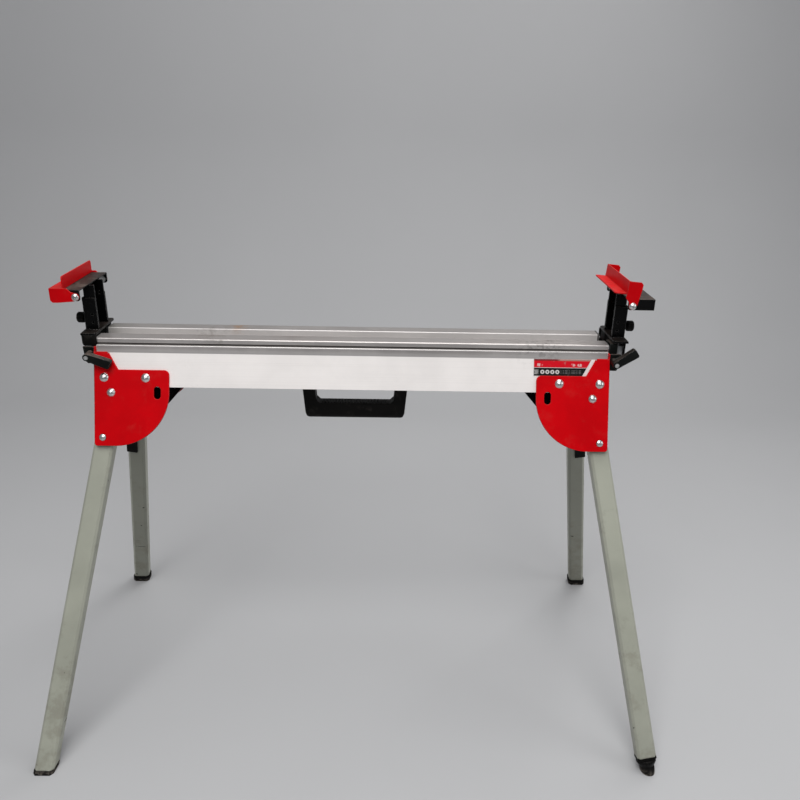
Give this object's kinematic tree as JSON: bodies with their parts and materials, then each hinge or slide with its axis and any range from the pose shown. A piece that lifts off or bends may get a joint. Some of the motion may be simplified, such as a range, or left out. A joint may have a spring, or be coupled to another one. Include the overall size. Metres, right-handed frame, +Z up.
{
  "type": "miter saw stand",
  "caption": "Folding miter saw stand: a two-rail aluminium beam on splayed push-button legs, with pull-out supports that end in height-adjustable tables and flip-up stops.",
  "frame": {"origin": "on the floor under the middle of the beam", "axes": "+X along the beam to the right, +Y away from the decal side, +Z up"},
  "size_m": [1.2484, 0.6693, 0.9452],
  "materials": {
    "clear_aluminium": "clear anodised, satin",
    "red_paint": "powder coat, worn at the edges",
    "black_paint": "black powder coat, worn",
    "leg_paint": "pale grey-green paint, scratched",
    "zinc": "bright zinc plate",
    "spring_steel": "blued spring steel",
    "black_plastic": "moulded, fine grain",
    "black_rubber": "worn rubber",
    "bar_steel": "galvanised tube",
    "cast_black": "painted casting"
  },
  "bodies": {
    "root": {"beam": "clear_aluminium", "plate_front_left": "red_paint", "plate_front_right": "red_paint", "plate_rear_left": "red_paint", "plate_rear_right": "red_paint", "inner_bracket_left": "black_paint", "inner_bracket_right": "black_paint", "plate_rivets": "zinc", "pivot_bolts": "zinc", "pivot_nuts": "zinc", "body_screws": "zinc", "carry_handle": "black_plastic", "clamp_housing_left": "cast_black", "clamp_housing_right": "cast_black", "clamp_pads": "black_plastic"},
    "leg_front_left": {"leg_front_left": "leg_paint", "rubbers_front_left": "black_rubber", "lock_spring_front_left": "spring_steel"},
    "lock_plunger_front_left": {"lock_plunger_front_left": "zinc"},
    "release_button_front_left": {"release_button_front_left": "zinc"},
    "leg_rear_left": {"leg_rear_left": "leg_paint", "rubbers_rear_left": "black_rubber", "lock_spring_rear_left": "spring_steel"},
    "lock_plunger_rear_left": {"lock_plunger_rear_left": "zinc"},
    "release_button_rear_left": {"release_button_rear_left": "zinc"},
    "leg_front_right": {"leg_front_right": "leg_paint", "rubbers_front_right": "black_rubber", "lock_spring_front_right": "spring_steel", "level_plug": "black_plastic"},
    "lock_plunger_front_right": {"lock_plunger_front_right": "zinc"},
    "release_button_front_right": {"release_button_front_right": "zinc"},
    "leg_rear_right": {"leg_rear_right": "leg_paint", "rubbers_rear_right": "black_rubber", "lock_spring_rear_right": "spring_steel"},
    "lock_plunger_rear_right": {"lock_plunger_rear_right": "zinc"},
    "release_button_rear_right": {"release_button_rear_right": "zinc"},
    "level_pad": {"level_pad": "black_rubber"},
    "level_collar": {"level_collar": "black_plastic"},
    "clamp_left": {"clamp_lever_left": "cast_black", "clamp_shaft_left": "zinc"},
    "arm_left": {"arm_bar_left": "bar_steel", "arm_bracket_left": "black_paint", "arm_block_left": "black_plastic"},
    "mast_left": {"mast_left": "black_paint", "table_left": "black_paint", "stop_bolts_left": "zinc"},
    "height_knob_left": {"height_knob_left": "black_plastic"},
    "flip_stop_left": {"flip_stop_left": "red_paint"},
    "clamp_right": {"clamp_lever_right": "cast_black", "clamp_shaft_right": "zinc"},
    "arm_right": {"arm_bar_right": "bar_steel", "arm_bracket_right": "black_paint", "arm_block_right": "black_plastic"},
    "mast_right": {"mast_right": "black_paint", "table_right": "black_paint", "stop_bolts_right": "zinc"},
    "height_knob_right": {"height_knob_right": "black_plastic"},
    "flip_stop_right": {"flip_stop_right": "red_paint"}
  },
  "joints": [
    {"name": "fold_front_left", "type": "hinge", "parent": "root", "child": "leg_front_left", "pos_m": [-0.464, -0.06, 0.70596], "axis": [0, -0.9397, 0.342], "range_deg": [0, 103.4]},
    {"name": "press_front_left", "type": "slide", "parent": "root", "child": "release_button_front_left", "axis": [0, 0.9397, -0.342], "range_m": [0, 0.0045], "stiffness_N_per_m": 400, "springref_m": -0.004},
    {"name": "plunge_front_left", "type": "slide", "parent": "leg_front_left", "child": "lock_plunger_front_left", "axis": [0, 0.9397, -0.342], "range_m": [0, 0.0046], "stiffness_N_per_m": 400, "springref_m": -0.004, "deforming": ["lock_spring_front_left"]},
    {"name": "fold_rear_left", "type": "hinge", "parent": "root", "child": "leg_rear_left", "pos_m": [-0.464, 0.06, 0.70596], "axis": [0, -0.9397, -0.342], "range_deg": [0, 103.4]},
    {"name": "press_rear_left", "type": "slide", "parent": "root", "child": "release_button_rear_left", "axis": [0, -0.9397, -0.342], "range_m": [0, 0.0045], "stiffness_N_per_m": 400, "springref_m": -0.004},
    {"name": "plunge_rear_left", "type": "slide", "parent": "leg_rear_left", "child": "lock_plunger_rear_left", "axis": [0, -0.9397, -0.342], "range_m": [0, 0.0046], "stiffness_N_per_m": 400, "springref_m": -0.004, "deforming": ["lock_spring_rear_left"]},
    {"name": "fold_front_right", "type": "hinge", "parent": "root", "child": "leg_front_right", "pos_m": [0.464, -0.06, 0.70596], "axis": [0, 0.9397, -0.342], "range_deg": [0, 97.4]},
    {"name": "press_front_right", "type": "slide", "parent": "root", "child": "release_button_front_right", "axis": [0, 0.9397, -0.342], "range_m": [0, 0.0045], "stiffness_N_per_m": 400, "springref_m": -0.004},
    {"name": "plunge_front_right", "type": "slide", "parent": "leg_front_right", "child": "lock_plunger_front_right", "axis": [0, 0.9397, -0.342], "range_m": [0, 0.0046], "stiffness_N_per_m": 400, "springref_m": -0.004, "deforming": ["lock_spring_front_right"]},
    {"name": "fold_rear_right", "type": "hinge", "parent": "root", "child": "leg_rear_right", "pos_m": [0.464, 0.06, 0.70596], "axis": [0, 0.9397, 0.342], "range_deg": [0, 97.4]},
    {"name": "press_rear_right", "type": "slide", "parent": "root", "child": "release_button_rear_right", "axis": [0, -0.9397, -0.342], "range_m": [0, 0.0045], "stiffness_N_per_m": 400, "springref_m": -0.004},
    {"name": "plunge_rear_right", "type": "slide", "parent": "leg_rear_right", "child": "lock_plunger_rear_right", "axis": [0, -0.9397, -0.342], "range_m": [0, 0.0046], "stiffness_N_per_m": 400, "springref_m": -0.004, "deforming": ["lock_spring_rear_right"]},
    {"name": "level_slide", "type": "slide", "parent": "leg_front_right", "child": "level_pad", "axis": [0.1805, -0.3364, -0.9243], "range_m": [0, 0.0121]},
    {"name": "level_turn", "type": "hinge", "parent": "level_pad", "child": "level_collar", "pos_m": [0.60188, -0.31695, 0], "axis": [0.1805, -0.3364, -0.9243], "range_deg": [0, 1440]},
    {"name": "clamp_left_lever", "type": "hinge", "parent": "root", "child": "clamp_left", "pos_m": [-0.503, 0, 0.78295], "axis": [0, -1, 0], "range_deg": [0, 165]},
    {"name": "arm_left_slide", "type": "slide", "parent": "root", "child": "arm_left", "axis": [-1, 0, 0], "range_m": [0, 0.65]},
    {"name": "mast_left_height", "type": "slide", "parent": "arm_left", "child": "mast_left", "axis": [0, 0, 1], "range_m": [0, 0.035]},
    {"name": "height_knob_left_turn", "type": "hinge", "parent": "mast_left", "child": "height_knob_left", "pos_m": [-0.518, 0, 0.8383], "axis": [-1, 0, 0], "range_deg": [0, 360]},
    {"name": "flip_stop_left_flip", "type": "hinge", "parent": "mast_left", "child": "flip_stop_left", "pos_m": [-0.509, 0, 0.898], "axis": [0, 1, 0], "range_deg": [0, 180]},
    {"name": "clamp_right_lever", "type": "hinge", "parent": "root", "child": "clamp_right", "pos_m": [0.503, 0, 0.78295], "axis": [0, 1, 0], "range_deg": [-165, 0]},
    {"name": "arm_right_slide", "type": "slide", "parent": "root", "child": "arm_right", "axis": [1, 0, 0], "range_m": [-0.01, 0.64]},
    {"name": "mast_right_height", "type": "slide", "parent": "arm_right", "child": "mast_right", "axis": [0, 0, 1], "range_m": [0, 0.035]},
    {"name": "height_knob_right_turn", "type": "hinge", "parent": "mast_right", "child": "height_knob_right", "pos_m": [0.528, 0, 0.8383], "axis": [1, 0, 0], "range_deg": [0, 360]},
    {"name": "flip_stop_right_flip", "type": "hinge", "parent": "mast_right", "child": "flip_stop_right", "pos_m": [0.519, 0, 0.898], "axis": [0, -1, 0], "range_deg": [-85, 95]}
  ],
  "couplings": [
    {"joint": "plunge_front_left", "follows": "press_front_left", "ratio": 1},
    {"joint": "plunge_rear_left", "follows": "press_rear_left", "ratio": 1},
    {"joint": "plunge_front_right", "follows": "press_front_right", "ratio": 1},
    {"joint": "plunge_rear_right", "follows": "press_rear_right", "ratio": 1},
    {"joint": "level_slide", "follows": "level_turn", "m_per_rad": 0.00047746}
  ]
}
